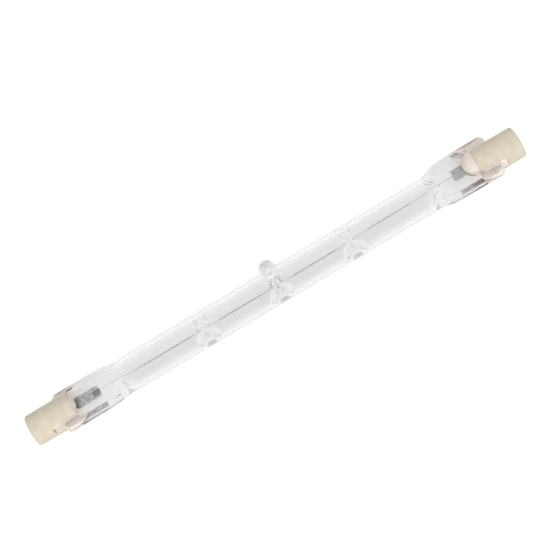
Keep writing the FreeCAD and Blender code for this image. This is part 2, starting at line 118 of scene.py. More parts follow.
def wound_wire():
    """The wire's centre line and its radius at each point, from the left weld to the right one."""
    coils = [(-left_coil[1], -left_coil[0]), (-inner_coils[1], -inner_coils[0]),
             inner_coils, right_coil]
    line = [(wire_low.x - glass_middle, 0, 0)]
    radii = [leg_wire]
    turn = 0.0
    for start, end in coils:
        count = int((end - start) / turn_pitch * steps_per_turn)
        for step in range(count + 1):
            along = start + (end - start) * step / count
            near_end = min(along - start, end - along) / turn_pitch
            opened = min(1, first_turn + (1 - first_turn) * near_end)
            uneven = sum(math.sin(pace * along) for pace in uneven_paces)
            radius = coil_radius * opened * (1 + uneven_share * uneven)
            turn += 2 * math.pi / steps_per_turn
            sag = coil_sag * math.sin(sag_pace * along)
            along += bunch * math.sin(2 * math.pi * along / bunch_length) * min(1, near_end)
            line.append((along, sag + radius * math.cos(turn), radius * math.sin(turn)))
            radii.append(coil_wire)
        line.append((end + coil_tail, 0, 0))
        radii.append(leg_wire)
    line.append((wire_high.x - glass_middle, 0, 0))
    radii.append(leg_wire)
    return line, radii


def with_bowed_legs(line, radii):
    """The same wire, whose long straight stretches have points of their own and bow a little."""
    full_line = []
    full_radii = []
    for index in range(len(line) - 1):
        start = np.array(line[index])
        end = np.array(line[index + 1])
        parts = max(1, int((end[0] - start[0]) / leg_step))
        for part in range(parts):
            point = start + (end - start) * part / parts
            if parts > 1:
                bend = kink if 0 < index < len(line) - 2 else end_kink
                bow = bend * math.sin(math.pi * part / parts)
                point[1] += bow * math.sin(2 * math.pi * kink_waves * part / parts + index)
                point[2] += bow * math.cos(kink_turn * index)
            full_line.append(point)
            full_radii.append(radii[index] if parts == 1 else leg_wire)
    full_line.append(np.array(line[-1]))
    full_radii.append(radii[-1])
    return np.array(full_line), np.array(full_radii)


def sweep_round(line, radii, sides):
    """Points of a round wire along a line."""
    ahead = np.gradient(line, axis=0)
    ahead /= np.linalg.norm(ahead, axis=1)[:, None]
    across = np.zeros_like(line)
    off_line = [0.0, 0.3, 1.0]
    side = np.cross(ahead[0], off_line)
    for index, direction in enumerate(ahead):
        side = side - direction * np.dot(side, direction)
        side /= np.linalg.norm(side)
        across[index] = side
    up = np.cross(ahead, across)
    rings = []
    for step in range(sides):
        angle = 2 * math.pi * step / sides
        rings.append(line + radii[:, None] * (across * math.cos(angle) + up * math.sin(angle)))
    return np.stack(rings, axis=1).reshape(-1, 3)


def srgb(red, green, blue):
    """A colour as shown on a screen, in the linear numbers of a shader."""
    return tuple(((part / 255 + 0.055) / 1.055) ** 2.4 for part in (red, green, blue))


def new_finish(name, colour, roughness, metallic=0.0):
    """A node material with one shader."""
    finish = bpy.data.materials.new(name)
    finish.use_nodes = True
    shader = finish.node_tree.nodes["Principled BSDF"]
    shader.inputs["Base Color"].default_value = (*colour, 1)
    shader.inputs["Roughness"].default_value = roughness
    shader.inputs["Metallic"].default_value = metallic
    return finish, shader


def noise(finish, size, detail=3.0, roughness=0.55, stretch=(1, 1, 1)):
    """A noise whose lumps are about size across, in the object's own space."""
    nodes = finish.node_tree.nodes
    links = finish.node_tree.links
    place = nodes.new("ShaderNodeTexCoord")
    scale = nodes.new("ShaderNodeMapping")
    scale.inputs["Scale"].default_value = stretch
    lumps = nodes.new("ShaderNodeTexNoise")
    lumps.inputs["Scale"].default_value = 1 / size
    lumps.inputs["Detail"].default_value = detail
    lumps.inputs["Roughness"].default_value = roughness
    links.new(place.outputs["Object"], scale.inputs["Vector"])
    links.new(scale.outputs["Vector"], lumps.inputs["Vector"])
    return lumps.outputs["Fac"]


def ramp(finish, value, *stops):
    """Colours picked along a value, each stop a place and a colour."""
    picked = finish.node_tree.nodes.new("ShaderNodeValToRGB")
    finish.node_tree.links.new(value, picked.inputs["Fac"])
    marks = picked.color_ramp.elements
    for index, (place, colour) in enumerate(stops):
        mark = marks[index] if index < 2 else marks.new(place)
        mark.position = place
        mark.color = (*colour, 1)
    return picked.outputs["Color"]


def paint(finish, shader, colour):
    """Let the finish take its colour from a node."""
    finish.node_tree.links.new(colour, shader.inputs["Base Color"])


wire_line, wire_radii = with_bowed_legs(*wound_wire())
wire_line[:, 0] += glass_middle
wire_line[:, 1] += np.interp(wire_line[:, 0], lean_places, lean_sides)
filament = put_together("tungsten_filament", sweep_round(wire_line, wire_radii, wire_sides),
                        strip_faces(len(wire_line), wire_sides))
tungsten, shader = new_finish("tungsten_wire", srgb(152, 145, 140), roughness=0.45, metallic=0.7)
dark_tungsten = srgb(76, 70, 66)
bright_tungsten = srgb(196, 190, 184)
streaks = noise(tungsten, size=0.32 * mm, detail=4.0, roughness=0.65)
paint(tungsten, shader, ramp(tungsten, streaks, (0.36, dark_tungsten), (0.62, bright_tungsten)))
filament.data.materials.append(tungsten)
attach(filament, "root")
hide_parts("filament")


# Weld tabs and sealing foils: thin molybdenum ribbon with its edges etched to a feather, so
# that the quartz can close round it without cracking. The wire's end is welded to a short
# tab, the tab to the foil, and the outer lead to the foil's far end.
ends = ("left", "right")
ribbon_rows = 84
ribbon_columns = 36
ribbon_trim = 0.99
feather_width = 0.5 * mm
feather_edge = 0.12
foil_ripple = 0.006 * mm
foil_ragged = 0.3 * mm
tab_ripple = 0.003 * mm
tab_ragged = 0.03 * mm
tab_wider = 0.45 * mm
foil_seeds = {"left": 11, "right": 12}
tab_seeds = {"left": 21, "right": 22}
# Each ripple has its share, and how many radians it turns along the ribbon and across it
ripples = ((1, 9, 3), (0.6, 23, -7), (0.4, 41, 13))
start_tears = 5
end_tears = 6
side_tears = 31
side_share = 0.4

foil_dull = srgb(196, 194, 194)
foil_grey = srgb(214, 212, 212)
foil_bright = srgb(216, 214, 214)
# Painted highlights: a narrow band of the crease noise is painted near white, a painted reflection
# on the foil's wrinkles
painted_crease_highlights = {"left": srgb(255, 255, 255), "right": srgb(222, 220, 220)}
# Painted shade: the foil is painted brown towards its outer end, where the cap's cheeks shade it,
# the right one only faintly
painted_shade_browns = {"left": srgb(104, 88, 74), "right": srgb(214, 206, 198)}
painted_shade_start = 46.7 * mm
painted_shade_end = 48.4 * mm


def bump(finish, shader, height, depth, before=None):
    """Small relief of a real depth, laid over any relief that comes before it."""
    relief = finish.node_tree.nodes.new("ShaderNodeBump")
    relief.inputs["Strength"].default_value = 1.0
    relief.inputs["Distance"].default_value = depth
    finish.node_tree.links.new(height, relief.inputs["Height"])
    if before is not None:
        finish.node_tree.links.new(before, relief.inputs["Normal"])
    finish.node_tree.links.new(relief.outputs["Normal"], shader.inputs["Normal"])
    return relief.outputs["Normal"]


def foil_metal(end):
    """Dull foil with a painted highlight along its creases, over their real relief, and a painted
    shade in brown towards its outer end, where the cap's cheeks overhang it.
    """
    metal, shader = new_finish(f"{end}_molybdenum_foil", foil_grey, roughness=0.55, metallic=0.15)
    creases = noise(metal, size=0.75 * mm, detail=1.0, roughness=0.4)
    # The narrow band between 0.57 and 0.67 is a painted highlight on the creases
    painted_highlight = painted_crease_highlights[end]
    bare = ramp(metal, creases, (0.3, foil_dull), (0.57, foil_grey), (0.6, painted_highlight), (0.63, painted_highlight),
                (0.67, foil_bright))
    nodes = metal.node_tree.nodes
    links = metal.node_tree.links
    place = nodes.new("ShaderNodeTexCoord")
    parts = nodes.new("ShaderNodeSeparateXYZ")
    outwards = nodes.new("ShaderNodeMath")
    outwards.operation = "ABSOLUTE"
    # Brown painted shade over the foil's outer end, under the cap's cheeks
    painted_shade_span = nodes.new("ShaderNodeMapRange")
    painted_shade_span.inputs["From Min"].default_value = painted_shade_start
    painted_shade_span.inputs["From Max"].default_value = painted_shade_end
    shaded_foil = nodes.new("ShaderNodeMix")
    shaded_foil.data_type = "RGBA"
    shaded_foil.inputs["B"].default_value = (*painted_shade_browns[end], 1)
    links.new(place.outputs["Object"], parts.inputs["Vector"])
    links.new(parts.outputs["X"], outwards.inputs[0])
    links.new(outwards.outputs["Value"], painted_shade_span.inputs["Value"])
    links.new(painted_shade_span.outputs["Result"], shaded_foil.inputs["Factor"])
    links.new(bare, shaded_foil.inputs["A"])
    paint(metal, shader, shaded_foil.outputs["Result"])
    bump(metal, shader, creases, depth=0.01 * mm)
    return metal


def sheet_faces(rows, columns):
    """The faces of a thin sheet: two grids, one for each side, and the rim between them."""
    wide = columns + 1
    one_side = (rows + 1) * wide
    faces = strip_faces(rows + 1, wide, closed=False)
    faces += [tuple(one_side + index for index in reversed(face)) for face in faces]
    rim = (list(range(wide))
           + [row * wide + columns for row in range(1, rows + 1)]
           + [rows * wide + column for column in range(columns - 1, -1, -1)]
           + [row * wide for row in range(rows - 1, 0, -1)])
    for index, here in enumerate(rim):
        after = rim[(index + 1) % len(rim)]
        faces.append((after, here, one_side + here, one_side + after))
    return faces


def ribbon(name, node, ripple, seed, ragged, wider=0.0):
    """A thin rippled ribbon in the place of a flat solid of the frame."""
    corners = [back_to_lamp @ vertex.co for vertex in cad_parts[node].data.vertices]
    low = [min(corner[axis] for corner in corners) for axis in range(3)]
    high = [max(corner[axis] for corner in corners) for axis in range(3)]
    low[1] -= wider
    length, width, thickness = (top - bottom for bottom, top in zip(low, high))
    middle = (low[2] + high[2]) / 2
    luck = np.random.default_rng(seed)
    phases = luck.uniform(0, 2 * math.pi, 6)
    points = []
    for face in (-1, 1):
        for row in range(ribbon_rows + 1):
            along = row / ribbon_rows
            for column in range(ribbon_columns + 1):
                across = column / ribbon_columns
                edge = min(across, 1 - across) * width
                feather = min(1, feather_edge + edge / feather_width)
                wave = sum(share * math.sin(run * along + over * across + phase)
                           for (share, run, over), phase in zip(ripples, phases))
                start_cut = ragged * abs(math.sin(start_tears * across + phases[3]))
                end_cut = ragged * abs(math.sin(end_tears * across + phases[5]))
                tear = math.sin(side_tears * along + phases[4]) * (across - 0.5)
                points.append((low[0] + start_cut + (length - start_cut - end_cut) * along,
                               low[1] + width * across * ribbon_trim + side_share * ragged * tear,
                               middle + ripple * wave + face * thickness / 2 * feather))
    piece = put_together(name, points, sheet_faces(ribbon_rows, ribbon_columns))
    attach(piece, "root")
    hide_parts(node)
    return piece


tab_metal, shader = new_finish("welded_tab", srgb(160, 157, 157), roughness=0.5, metallic=0.2)
dark_tab = srgb(140, 138, 138)
bright_tab = srgb(178, 175, 175)
weld_marks = noise(tab_metal, size=0.25 * mm, detail=4.0)
paint(tab_metal, shader, ramp(tab_metal, weld_marks, (0.35, dark_tab), (0.65, bright_tab)))
bump(tab_metal, shader, weld_marks, depth=0.012 * mm)
foil_sheets = {end: foil_metal(end) for end in ends}
# The right tab lies behind its foil and is as bright as the foil
tab_sheets = {"left": tab_metal, "right": foil_sheets["right"]}
for end in ends:
    foil = ribbon(f"{end}_foil_ribbon", f"{end}_foil", foil_ripple, foil_seeds[end], foil_ragged)
    foil.data.materials.append(foil_sheets[end])
    tab = ribbon(f"{end}_tab_strip", f"{end}_weld_tab", tab_ripple, tab_seeds[end], tab_ragged,
                 tab_wider)
    tab.data.materials.append(tab_sheets[end])


# Outer leads: round molybdenum wires, drawn through a die that leaves fine lines on them.
# Each is welded to the outer end of its foil and runs through the cement to its contact.
lead_metal, shader = new_finish("outer_lead_wire", srgb(165, 163, 161), roughness=0.35, metallic=0.9)
dark_lead = srgb(145, 143, 141)
bright_lead = srgb(182, 180, 178)
draw_lines = noise(lead_metal, size=0.08 * mm, detail=3.0, roughness=0.5, stretch=(0.08, 1, 1))
paint(lead_metal, shader, ramp(lead_metal, draw_lines, (0.3, dark_lead), (0.7, bright_lead)))
bump(lead_metal, shader, draw_lines, depth=0.006 * mm)


def finish_node(node, finish, bevel=0.0):
    """Give a solid of the frame its finish, and soften its sharp edges."""
    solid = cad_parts[node]
    if not solid.material_slots:
        solid.data.materials.append(finish)
    for place in solid.material_slots:
        place.material = finish
    if bevel:
        rounding = solid.modifiers.new("edge_rounding", "BEVEL")
        rounding.width = bevel
        rounding.segments = 3
        rounding.limit_method = "ANGLE"
        rounding.angle_limit = math.radians(35)
        rounding.harden_normals = False
    return solid


for end in ends:
    finish_node(f"{end}_outer_lead", lead_metal)


# Quartz envelope: one drawn tube. It is heated and flattened by jaws at both ends, which
# leave two ribs beside a thinner web, pinched from both sides at three places to hold the
# filament, and melted off at the exhaust tip once it is filled.
tube_radius = 3.9 * mm
bore_radius = 2.95 * mm
press_length = 12.7 * mm
shoulder_length = 4.6 * mm
widening_length = shoulder_length + 2.2 * mm
web_half = 1.0 * mm
rib_half = 1.4 * mm
rib_width = 1.5 * mm
rib_slope = 0.35 * mm
rib_round = 0.5 * mm
rib_round_share = 0.6
press_corner = 1.3 * mm
most_tuck = 0.86 * press_corner
press_sides = {"left": (4.9 * mm, 4.9 * mm), "right": (5.1 * mm, 6.1 * mm)}
support_spacing = 17.6 * mm
supports = [glass_middle + step * support_spacing for step in (-1, 0, 1)]

# The cavity narrows to a point at each shoulder and closes over a rounded slit
cavity_gap = 0.3 * mm
cavity_half_width = 2.3 * mm
cavity_half_height = 0.25 * mm
cavity_round = 0.7 * mm
cavity_point = 2.6 * mm
point_curve = 0.7
point_blunt = 0.04
slit_blunt = 0.12
early_flattening = 1.02

glass_ends = {"left": -glass_low.x, "right": glass_high.x}
corner_starts = {end: glass_ends[end] - press_corner for end in ends}
web_starts = {end: glass_ends[end] - press_length for end in ends}
shoulder_starts = {end: web_starts[end] - shoulder_length for end in ends}
cavity_ends = {end: web_starts[end] - cavity_gap for end in ends}
paste_reach = 45.6 * mm

# How close the sections stand: closest where the form turns and where paste meets the glass
tube_step = 1.0 * mm
shoulder_step = 0.2 * mm
shoulder_margin = 2.4 * mm
web_step = 0.6 * mm
paste_step = 0.18 * mm
corner_step = 0.14 * mm
slit_step = 0.1 * mm

# Every section has one point for each angle round the tube. In a quarter of the press, these
# angles mark off its side, its corner, the top of its rib and the slope down to its web
ring_points = 180
side_angle = 10
corner_angle = 26
rib_angle = 38
slope_angle = 48
angles = np.arange(ring_points) * 2 * math.pi / ring_points
circle = np.stack([np.cos(angles), np.sin(angles)], axis=1)


def ease(value):
    """A smooth rise from 0 to 1."""
    value = np.clip(value, 0.0, 1.0)
    return value * value * (3 - 2 * value)


def spread(start, end, step):
    """Places from start up to but not at end, about a step apart."""
    count = max(1, round((end - start) / step))
    return [start + (end - start) * index / count for index in range(count)]


def press_section(near, far, rib_wide, corner):
    """The I-shaped section of a press seal, one point for each angle of the tube."""
    points = np.zeros((ring_points, 2))
    for index, angle in enumerate(angles):
        quarter = math.degrees(angle) % 180
        quarter = min(quarter, 180 - quarter)
        out = 1 if math.cos(angle) > 0 else -1
        up = 1 if math.sin(angle) > 0 else -1
        half = far if out > 0 else near
        if quarter <= side_angle:
            width = half
            height = (rib_half - corner) * quarter / side_angle
        elif quarter <= corner_angle:
            bend = math.radians((quarter - side_angle) / (corner_angle - side_angle) * 90)
            width = half - corner + corner * math.cos(bend)
            height = rib_half - corner + corner * math.sin(bend)
        elif quarter <= rib_angle:
            share = (quarter - corner_angle) / (rib_angle - corner_angle)
            width = half - corner - (rib_wide - corner) * share
            height = rib_half
        elif quarter <= slope_angle:
            fall = (quarter - rib_angle) / (slope_angle - rib_angle)
            width = half - rib_wide - rib_slope * fall
            height = rib_half + (web_half - rib_half) * float(ease(fall))
        else:
            width = (half - rib_wide - rib_slope) * (90 - quarter) / (90 - slope_angle)
            height = web_half
        points[index] = (out * width, up * height)
    return points


def outer_ring(end, along):
    """The envelope's outer section at a distance from the lamp's middle towards one end."""
    near, far = press_sides[end]
    tuck = 0.0
    if along > corner_starts[end]:
        past = along - corner_starts[end]
        tuck = press_corner - math.sqrt(max(press_corner ** 2 - past ** 2, 0))
    tuck = min(tuck, most_tuck)
    rib_wide = rib_width - tuck
    corner = min(rib_round, rib_wide * rib_round_share)
    flat = press_section(near - tuck, far - tuck, rib_wide, corner)
    widened = ease((along - shoulder_starts[end]) / widening_length)
    flattened = ease((along - shoulder_starts[end]) / shoulder_length)
    ring = circle * tube_radius
    across = ring[:, 0] + (flat[:, 0] - ring[:, 0]) * widened
    up = ring[:, 1] + (flat[:, 1] - ring[:, 1]) * flattened
    return np.stack([across, up], axis=1)


def inner_ring(end, along):
    """The cavity's section, which runs out in a point and a slit before the web."""
    near, far = press_sides[end]
    shift = (far - near) / 2
    part = (along - shoulder_starts[end]) / (cavity_ends[end] - shoulder_starts[end])
    narrowed = ease(part)
    flattened = ease(part * early_flattening)
    left_over = max(cavity_ends[end] - along, 0.0)
    closing = 1.0
    if left_over < cavity_round:
        closing = math.sqrt(max(1 - (1 - left_over / cavity_round) ** 2, 0))
    point = 1.0
    if left_over < cavity_point:
        point = (left_over / cavity_point) ** point_curve
    half_width = bore_radius + (cavity_half_width - bore_radius) * narrowed
    half_height = bore_radius + (cavity_half_height - bore_radius) * flattened
    ring = circle * [half_width * max(point, point_blunt), half_height * max(closing, slit_blunt)]
    return ring + [shift * narrowed, 0]


def press_places(end):
    """Where the sections stand in one shoulder and press, outwards."""
    coarse_start = web_starts[end] + shoulder_margin
    return (spread(shoulder_starts[end], coarse_start, shoulder_step)
            + spread(coarse_start, paste_reach, web_step)
            + spread(paste_reach, corner_starts[end], paste_step)
            + spread(corner_starts[end], glass_ends[end], corner_step) + [glass_ends[end]])


def cavity_places(end):
    """Where the cavity's sections stand in one shoulder, outwards."""
    round_start = cavity_ends[end] - cavity_round
    return (spread(shoulder_starts[end], round_start, shoulder_step)
            + spread(round_start, cavity_ends[end], slit_step) + [cavity_ends[end]])


def tube_places(tip_reach, dimple_reach, tip_step, dimple_step):
    """Where the sections stand along the round tube, closer about its dimples and tip."""
    places = []
    here = -shoulder_starts["left"]
    for middle in supports:
        reach = tip_reach if middle == glass_middle else dimple_reach
        step = tip_step if middle == glass_middle else dimple_step
        places += spread(here, middle - reach, tube_step)
        places += spread(middle - reach, middle + reach, step)
        here = middle + reach
    places += spread(here, shoulder_starts["right"], tube_step)
    # The left shoulder already has the first section
    return places[1:]


# How the softened wall is drawn up to the tip, or pushed in at a dimple. Each place is a few
# points from its middle outwards, in mm: how far out, how high, and how much of the wall's
# own height is added
tip_skirt = 3.0
tip_outside = [(0, 7.78, 0), (0.8, 7.62, 0), (1.4, 7.2, 0), (1.86, 6.5, 0), (1.9, 5.8, 0),
               (1.74, 5.2, 0), (1.62, 4.75, 0), (1.64, 0.72, 1), (1.84, 0.3, 1), (2.2, 0.1, 1),
               (2.6, 0.02, 1), (tip_skirt, 0, 1)]
hollow_mouth = 1.5
tip_inside = [(0, 5.6, 0), (0.1, 5.5, 0), (0.3, 5.0, 0), (0.55, 4.3, 0), (0.72, 3.6, 0),
              (0.82, 0.1, 1), (1.1, 0, 1), (hollow_mouth, 0, 1)]
dimple_skirt = 2.4
dimple_outside = [(0, 0.5, 0), (0.25, 0.5, 0), (0.5, 0.56, 0), (0.62, 0.95, 0), (0.76, 1.7, 0),
                  (0.95, 2.4, 0), (1.15, -0.72, 1), (1.4, -0.32, 1), (1.75, -0.1, 1),
                  (2.1, -0.02, 1), (dimple_skirt, 0, 1)]
bridge_foot = 3.0
dimple_inside = [(0, 0.04, 0), (0.2, 0.05, 0), (0.5, 0.2, 0), (0.85, 0.6, 0), (1.25, 1.15, 0),
                 (1.65, 1.7, 0), (2.05, 2.15, 0), (2.4, -0.25, 1), (2.75, -0.05, 1),
                 (bridge_foot, 0, 1)]
least_distance = 1e-9


def drawn_through(points, share):
    """Places on an even quadratic curve along a short list of points."""
    points = np.array(points, float) * [mm, mm, 1]
    points = np.vstack([2 * points[0] - points[1], points, 2 * points[-1] - points[-2]])
    place = share * (len(points) - 3)
    nearest = np.floor(place + 0.5).astype(int)
    past = (place + 0.5 - nearest)[:, None]
    return (points[nearest] * (1 - past) ** 2 / 2
            + points[nearest + 1] * (0.75 - (past - 0.5) ** 2)
            + points[np.minimum(nearest + 2, len(points) - 1)] * past ** 2 / 2)


def pull_wall(points, middle, side, wall, profile):
    """Move the wall about one place as the heat and the tool leave it."""
    reach = profile[-1][0] * mm
    across, up = (1, 2) if side == "tip" else (2, 1)
    sign = -1 if side == "near" else 1
    run = points[:, 0] - middle
    distance = np.hypot(run, points[:, across])
    inside = (distance < reach) & (sign * points[:, up] > 0)
    new_distance, height, on_wall = drawn_through(profile, distance[inside] / reach).T
    scale = new_distance / np.maximum(distance[inside], least_distance)
    new_across = points[inside, across] * scale
    wall_height = np.sqrt(np.maximum(wall ** 2 - new_across ** 2, 0))
    points[inside, 0] = middle + run[inside] * scale
    points[inside, across] = new_across
    points[inside, up] = sign * (height + on_wall * wall_height)


def envelope_surface(ring_of, places_of, middles, wall, tip_profile, dimple_profile):
    """All sections of one surface, from the left end to the right one."""
    rings = []
    for place in reversed(places_of("left")):
        rings.append(np.column_stack([np.full(ring_points, -place), ring_of("left", place)]))
    for place in middles:
        rings.append(np.column_stack([np.full(ring_points, place), circle * wall]))
    for place in places_of("right"):
        rings.append(np.column_stack([np.full(ring_points, place), ring_of("right", place)]))
    points = np.concatenate(rings)
    for middle in supports:
        for side in ("near", "far"):
            pull_wall(points, middle, side, wall, dimple_profile)
    pull_wall(points, glass_middle, "tip", wall, tip_profile)
    return points, len(rings)


def closed_faces(rings):
    """The faces of one surface, with a face over each end."""
    last = (rings - 1) * ring_points
    return strip_faces(rings, ring_points) + [
        tuple(reversed(range(ring_points))), tuple(range(last, last + ring_points))]


outside_middles = tube_places(tip_reach=3.1 * mm, dimple_reach=2.5 * mm,
                              tip_step=0.14 * mm, dimple_step=0.155 * mm)
outside, outside_rings = envelope_surface(outer_ring, press_places, outside_middles, tube_radius,
                                          tip_outside, dimple_outside)
inside_middles = tube_places(tip_reach=3.1 * mm, dimple_reach=3.1 * mm,
                             tip_step=0.16 * mm, dimple_step=0.185 * mm)
inside, inside_rings = envelope_surface(inner_ring, cavity_places, inside_middles, bore_radius,
                                        tip_inside, dimple_inside)
shell_faces = closed_faces(outside_rings)
shell_faces += [tuple(len(outside) + index for index in reversed(face))
                for face in closed_faces(inside_rings)]
envelope = put_together("quartz_glass", np.concatenate([outside, inside]), shell_faces)

quartz_tint = (0.987, 0.979, 0.981)
quartz_index = 1.458
quartz, shader = new_finish("fused_quartz", quartz_tint, roughness=0.0)
shader.inputs["Transmission Weight"].default_value = 1.0
shader.inputs["IOR"].default_value = quartz_index
drawn = noise(quartz, size=1.6 * mm, detail=2.0, roughness=0.4, stretch=(0.25, 1, 1))
bump(quartz, shader, drawn, depth=0.002 * mm)
# Light that has met the glass twice goes straight on from there, where it would otherwise be
# caught between its walls and end in black. So does the light on its way to what lies in and
# under the glass. Each crossing takes a little of it
caught_after = 1.5
caught_clear = 0.965
shadow_clear = 0.945
quartz_nodes = quartz.node_tree.nodes
quartz_links = quartz.node_tree.links
ray = quartz_nodes.new("ShaderNodeLightPath")
caught = quartz_nodes.new("ShaderNodeMath")
caught.operation = "GREATER_THAN"
caught.inputs[1].default_value = caught_after
quartz_links.new(ray.outputs["Glossy Depth"], caught.inputs[0])
surface = shader.outputs["BSDF"]
for clear, chosen in ((caught_clear, caught.outputs["Value"]),
                      (shadow_clear, ray.outputs["Is Shadow Ray"])):
    straight = quartz_nodes.new("ShaderNodeBsdfTransparent")
    straight.inputs["Color"].default_value = (clear, clear, clear, 1)
    either = quartz_nodes.new("ShaderNodeMixShader")
    quartz_links.new(chosen, either.inputs["Fac"])
    quartz_links.new(surface, either.inputs[1])
    quartz_links.new(straight.outputs["BSDF"], either.inputs[2])
    surface = either.outputs["Shader"]
quartz_links.new(surface, quartz_nodes["Material Output"].inputs["Surface"])
envelope.data.materials.append(quartz)
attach(envelope, "root")
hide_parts("quartz_envelope")


# Contacts: turned metal buttons, crimped on the outer leads and sunk at the bottom of the
# recesses in the ceramic, where the holder's spring pins reach them.
contact_metal, shader = new_finish("contact_button", srgb(188, 184, 176), roughness=0.32,
                                   metallic=0.95)
dark_contact = srgb(170, 166, 158)
bright_contact = srgb(200, 197, 190)
turning = noise(contact_metal, size=0.3 * mm, detail=4.0)
paint(contact_metal, shader,
      ramp(contact_metal, turning, (0.3, dark_contact), (0.7, bright_contact)))
bump(contact_metal, shader, turning, depth=0.008 * mm)
for end in ends:
    finish_node(f"{end}_contact", contact_metal, bevel=0.08 * mm)


# Ceramic caps: pressed and fired steatite, a round end with two cheeks that hold the press
# seal between them. The surface is fine grained and matt, with a few dark specks.
cap_ceramic, shader = new_finish("steatite", srgb(216, 207, 186), roughness=0.78)
dark_cloud = srgb(210, 200, 178)
pale_cloud = srgb(221, 213, 193)
speck = srgb(176, 163, 140)
no_mark = (1.0, 1.0, 1.0)


def marked(finish, tone, marks, strength):
    """A tone with darker marks laid over it."""
    stain = finish.node_tree.nodes.new("ShaderNodeMix")
    stain.data_type = "RGBA"
    stain.blend_type = "MULTIPLY"
    stain.inputs["Factor"].default_value = strength
    finish.node_tree.links.new(tone, stain.inputs["A"])
    finish.node_tree.links.new(marks, stain.inputs["B"])
    return stain.outputs["Result"]


cloud = noise(cap_ceramic, size=1.8 * mm, detail=3.0)
grain = noise(cap_ceramic, size=0.16 * mm, detail=4.0, roughness=0.65)
tone = ramp(cap_ceramic, cloud, (0.3, dark_cloud), (0.7, pale_cloud))
specks = ramp(cap_ceramic, grain, (0.27, speck), (0.36, no_mark))
paint(cap_ceramic, shader, marked(cap_ceramic, tone, specks, strength=0.5))
coarse = bump(cap_ceramic, shader, cloud, depth=0.03 * mm)
bump(cap_ceramic, shader, grain, depth=0.012 * mm, before=coarse)
for end in ends:
    finish_node(f"{end}_ceramic_cap", cap_ceramic, bevel=0.12 * mm)


# Cement: a sandy paste pressed into the slots of the caps, which squeezes out over the
# press seal and sets rough. The right end has a large bead of it, the left one a thin line.
lump_size = 0.5 * mm
lump_height = 0.16 * mm
lump_middle = 0.55
paste_voxel = 0.1 * mm
dark_paste = srgb(230, 219, 209)
pale_paste = srgb(246, 237, 228)
pit = srgb(165, 148, 134)
cement_mix, shader = new_finish("fired_cement", srgb(226, 216, 206), roughness=0.9)
sand = noise(cement_mix, size=0.42 * mm, detail=5.0, roughness=0.7)
patches = noise(cement_mix, size=1.1 * mm, detail=3.0)
tone = ramp(cement_mix, patches, (0.32, dark_paste), (0.68, pale_paste))
pits = ramp(cement_mix, sand, (0.3, pit), (0.42, no_mark))
paint(cement_mix, shader, marked(cement_mix, tone, pits, strength=0.7))
bump(cement_mix, shader, sand, depth=0.05 * mm)
lumps = bpy.data.textures.new("cement_lumps", "CLOUDS")
lumps.noise_scale = lump_size
lumps.noise_depth = 3
for end in ends:
    paste = finish_node(f"{end}_cement", cement_mix)
    rounded = paste.modifiers.new("set_round", "REMESH")
    rounded.mode = "VOXEL"
    rounded.voxel_size = paste_voxel
    rounded.use_smooth_shade = True
    lumpy = paste.modifiers.new("lumpy", "DISPLACE")
    lumpy.texture = lumps
    lumpy.texture_coords = "LOCAL"
    lumpy.strength = lump_height
    lumpy.mid_level = lump_middle


# Paste on the glass: the press seal is gripped by the paste in the slot and smeared with it
# along the ribs, thick on their sides and as a thin clear film along their upper corners.
# It shows in the glass as a finish of the glass's own faces.
wet_paste, shader = new_finish("wetted_cement", srgb(240, 230, 222), roughness=0.9)
wet_dark = srgb(224, 210, 202)
wet_pale = srgb(246, 238, 230)
wet_sand = noise(wet_paste, size=0.3 * mm, detail=4.0, roughness=0.7)
paint(wet_paste, shader, ramp(wet_paste, wet_sand, (0.3, wet_dark), (0.6, wet_pale)))
film, shader = new_finish("cement_film", srgb(240, 228, 222), roughness=0.3)
film_dark = srgb(224, 210, 204)
film_pale = srgb(250, 240, 234)
shader.inputs["Transmission Weight"].default_value = 0.5
shader.inputs["IOR"].default_value = 1.3
film_sand = noise(film, size=0.35 * mm, detail=4.0, roughness=0.6)
paint(film, shader, ramp(film, film_sand, (0.3, film_dark), (0.62, film_pale)))
bump(film, shader, film_sand, depth=0.02 * mm)

# In the slot, the paste reaches inwards under the right bead and in the left groove's corners
slot_start = 48.6 * mm
slot_side = 3.4 * mm
bead_reach = 2.6 * mm
corner_reach = 2.8 * mm
# On the ribs, a smear starts nearest the lamp's middle at the rib's upper corner. Its taper
# is how far it falls back, in mm, at 1 mm from that corner
smear_starts = {("left", "near"): 46.6 * mm, ("left", "far"): 47.3 * mm,
                ("right", "near"): 48.0 * mm, ("right", "far"): 46.4 * mm}
smear_tapers = {("left", "near"): 1.1, ("left", "far"): 1.1,
                ("right", "near"): 1.1, ("right", "far"): 0.45}
rib_corner_inset = 0.15 * mm
rib_corner_height = 1.2 * mm
film_half = 0.85 * mm
bare_glass, gripped_glass, smeared_glass, filmed_glass = range(4)


def paste_on(centre):
    """Which finish one face of the glass has, by its centre in the lamp's own axes."""
    out = abs(centre.x)
    end = "right" if centre.x > 0 else "left"
    side = "far" if centre.y > 0 else "near"
    if abs(centre.y) < slot_side:
        creep = 0.0
        if centre.z > 0 and end == "right":
            creep = bead_reach * math.sqrt(1 - (min(centre.y, 0) / slot_side) ** 2)
        elif centre.z > 0:
            creep = corner_reach * abs(centre.y / slot_side) ** 3
        return gripped_glass if out > slot_start - creep else bare_glass
    near, far = press_sides[end]
    rib_side = far if side == "far" else near
    from_corner = math.hypot(abs(centre.y) - rib_side + rib_corner_inset,
                             centre.z - rib_corner_height)
    start = smear_starts[(end, side)]
    if out < start + smear_tapers[(end, side)] * from_corner ** 2 / mm:
        return bare_glass
    middle = (start + glass_ends[end]) / 2
    share = (out - middle) / (glass_ends[end] - middle)
    film_reach = film_half * math.sqrt(max(1 - share ** 2, 0))
    return filmed_glass if from_corner < film_reach else smeared_glass


for finish in (wet_paste, cement_mix, film):
    envelope.data.materials.append(finish)
for face in envelope.data.polygons:
    face.material_index = paste_on(back_to_lamp @ face.center)
